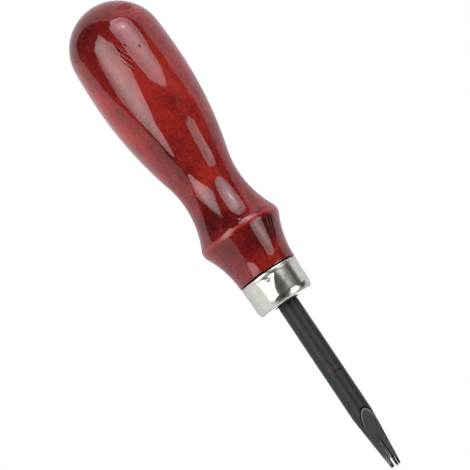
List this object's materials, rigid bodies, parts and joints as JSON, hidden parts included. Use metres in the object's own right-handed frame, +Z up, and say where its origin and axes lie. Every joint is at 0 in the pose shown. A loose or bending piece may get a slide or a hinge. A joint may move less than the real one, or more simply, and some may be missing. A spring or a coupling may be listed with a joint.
{
  "type": "leather edge beveler",
  "caption": "Hand tool for rounding leather edges: turned red-stained hardwood handle, plated ferrule and a round black steel blade with a ground flat and a forked cutting tip.",
  "frame": {"origin": "on the tool's axis, in the end face of the ferrule where the blade leaves it", "axes": "+X along the axis towards the forked tip, +Z up as the tool lies on a bench, +Y completes the right-handed set; the blade's ground flat faces up, turned 21 degrees from +Z towards +Y"},
  "size_m": [0.1401, 0.0258, 0.0258],
  "materials": {
    "stained_wood": "deep red stain under gloss clear lacquer",
    "nickel_plate": "bright nickel plate with fine handling marks",
    "black_steel": "satin black oxide, ground flat and polished tines"
  },
  "bodies": {
    "root": {"handle": "stained_wood", "ferrule": "nickel_plate", "blade": "black_steel"}
  },
  "joints": []
}
